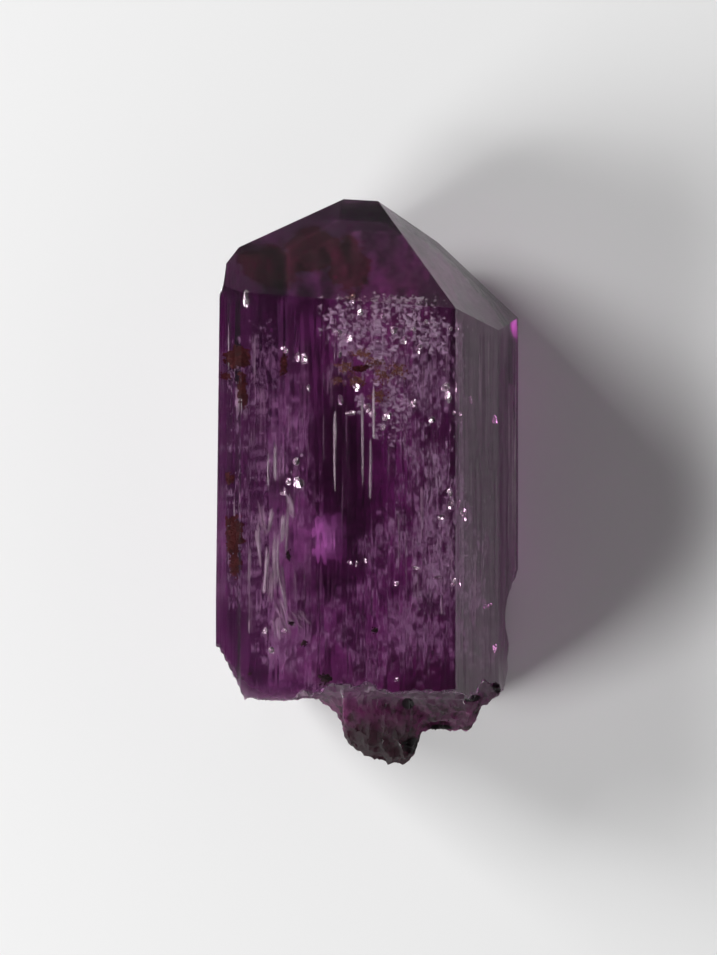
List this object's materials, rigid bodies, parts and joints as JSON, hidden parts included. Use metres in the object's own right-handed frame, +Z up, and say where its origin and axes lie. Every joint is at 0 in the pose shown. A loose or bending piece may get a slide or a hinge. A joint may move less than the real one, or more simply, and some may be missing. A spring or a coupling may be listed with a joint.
{
  "type": "imperial topaz crystal",
  "caption": "Loose purple topaz crystal: a stubby, finely striated prism with a flat-faced point at one end and a rough broken end, lying on a prism face.",
  "frame": {"origin": "middle of the crystal's bounds, on the surface that it lies on", "axes": "+Y along the prism towards the pointed end, +Z up through the broad front prism face, +X towards the side with the narrow steep faces"},
  "size_m": [0.0212, 0.04, 0.014],
  "materials": {
    "topaz": "clear purple crystal with fine lengthwise striations, a satin point and a rough broken end"
  },
  "bodies": {
    "root": {"topaz_crystal": "topaz"}
  },
  "joints": []
}
